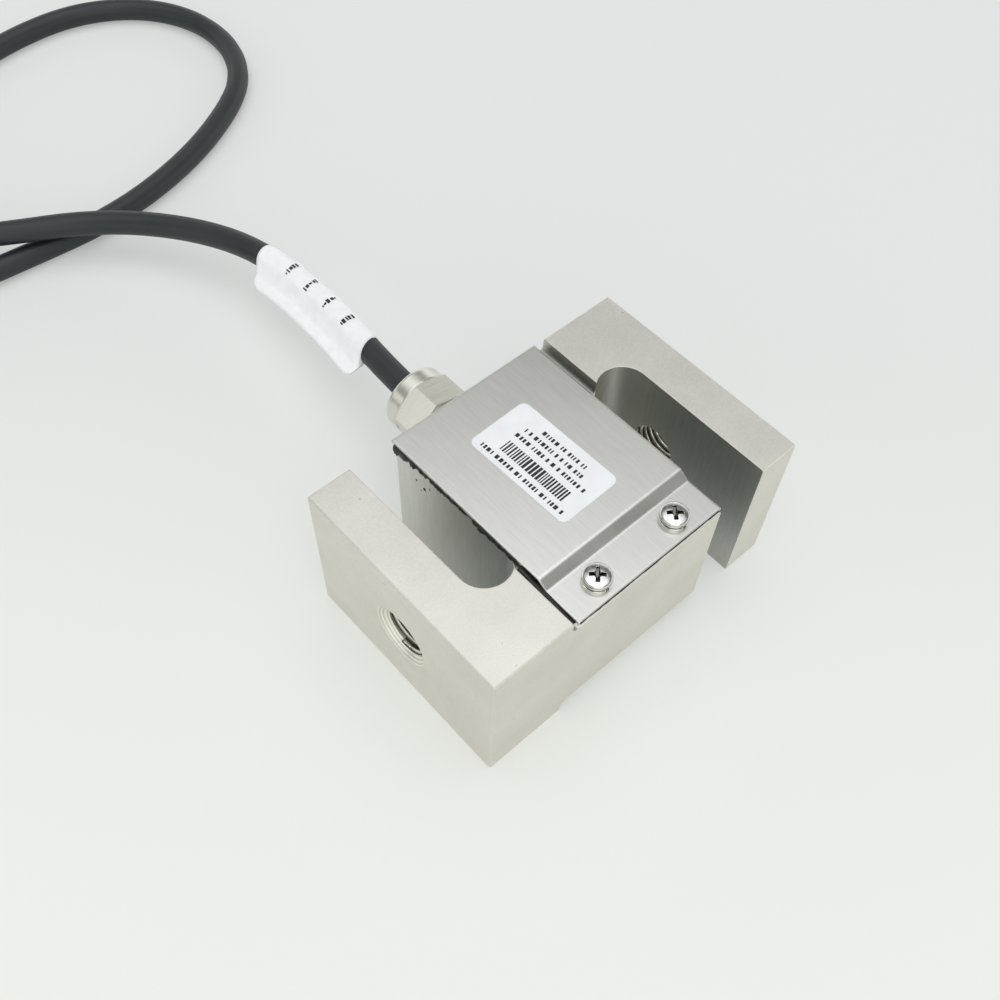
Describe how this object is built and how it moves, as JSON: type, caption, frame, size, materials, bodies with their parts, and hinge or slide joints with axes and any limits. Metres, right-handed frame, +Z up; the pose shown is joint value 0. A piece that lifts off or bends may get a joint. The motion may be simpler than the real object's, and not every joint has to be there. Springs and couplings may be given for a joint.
{
  "type": "s type load cell",
  "caption": "S shaped tension and compression load cell: slotted steel spring body, joggled cover plates over the gauge wells, a cable gland and a screened cable.",
  "frame": {"origin": "centre of the spring body's footprint, on the surface that it stands on", "axes": "X is the load axis through both threaded holes, +Y the side where the cable leaves, +Z up through the top cover"},
  "size_m": [0.1934, 0.2546, 0.035],
  "materials": {
    "nickel_plated_steel": "satin nickel plate on machined alloy steel",
    "stainless_sheet": "fine brushed sheet",
    "screw_steel": "bright nickel plated screws",
    "gland_brass": "brass, turned and nickel plated",
    "sealant": "black flexible sealant, uneven at its edge",
    "potting": "soft translucent sealing compound",
    "gauge_foil": "metal foil on a polyimide film",
    "terminal_board": "glass fibre board",
    "rubber_seal": "moulded rubber",
    "washer_steel": "plain",
    "cable_sheath": "extruded PVC with a soft sheen",
    "core_red": "PVC insulation",
    "core_black": "PVC insulation",
    "core_green": "PVC insulation",
    "core_white": "PVC insulation",
    "tinned_copper": "tinned wire",
    "label_film": "blank white label",
    "tag_paper": "blank white paper"
  },
  "bodies": {
    "root": {"spring_body": "nickel_plated_steel", "top_cover": "stainless_sheet", "bottom_cover": "stainless_sheet", "top_sealant": "sealant", "bottom_sealant": "sealant", "top_screw_left": "screw_steel", "top_screw_right": "screw_steel", "bottom_screw_left": "screw_steel", "bottom_screw_right": "screw_steel", "gland_nipple": "gland_brass", "gland_nut": "gland_brass", "gland_seal_ring": "rubber_seal", "gland_bush": "rubber_seal", "gland_clamp_washer": "washer_steel", "strain_gauge_top_left": "gauge_foil", "strain_gauge_top_right": "gauge_foil", "strain_gauge_bottom_left": "gauge_foil", "strain_gauge_bottom_right": "gauge_foil", "terminal_board": "terminal_board", "gauge_potting_top": "potting", "gauge_potting_bottom": "potting", "inner_core_red": "core_red", "inner_core_black": "core_black", "inner_core_green": "core_green", "inner_core_white": "core_white", "cover_label": "label_film", "cable_out": "cable_sheath", "cable_coil": "cable_sheath", "cable_back": "cable_sheath", "cable_tag": "tag_paper", "lead_red": "core_red", "lead_black": "core_black", "lead_green": "core_green", "lead_white": "core_white", "lead_screen": "cable_sheath", "lead_tips": "tinned_copper"}
  },
  "joints": []
}
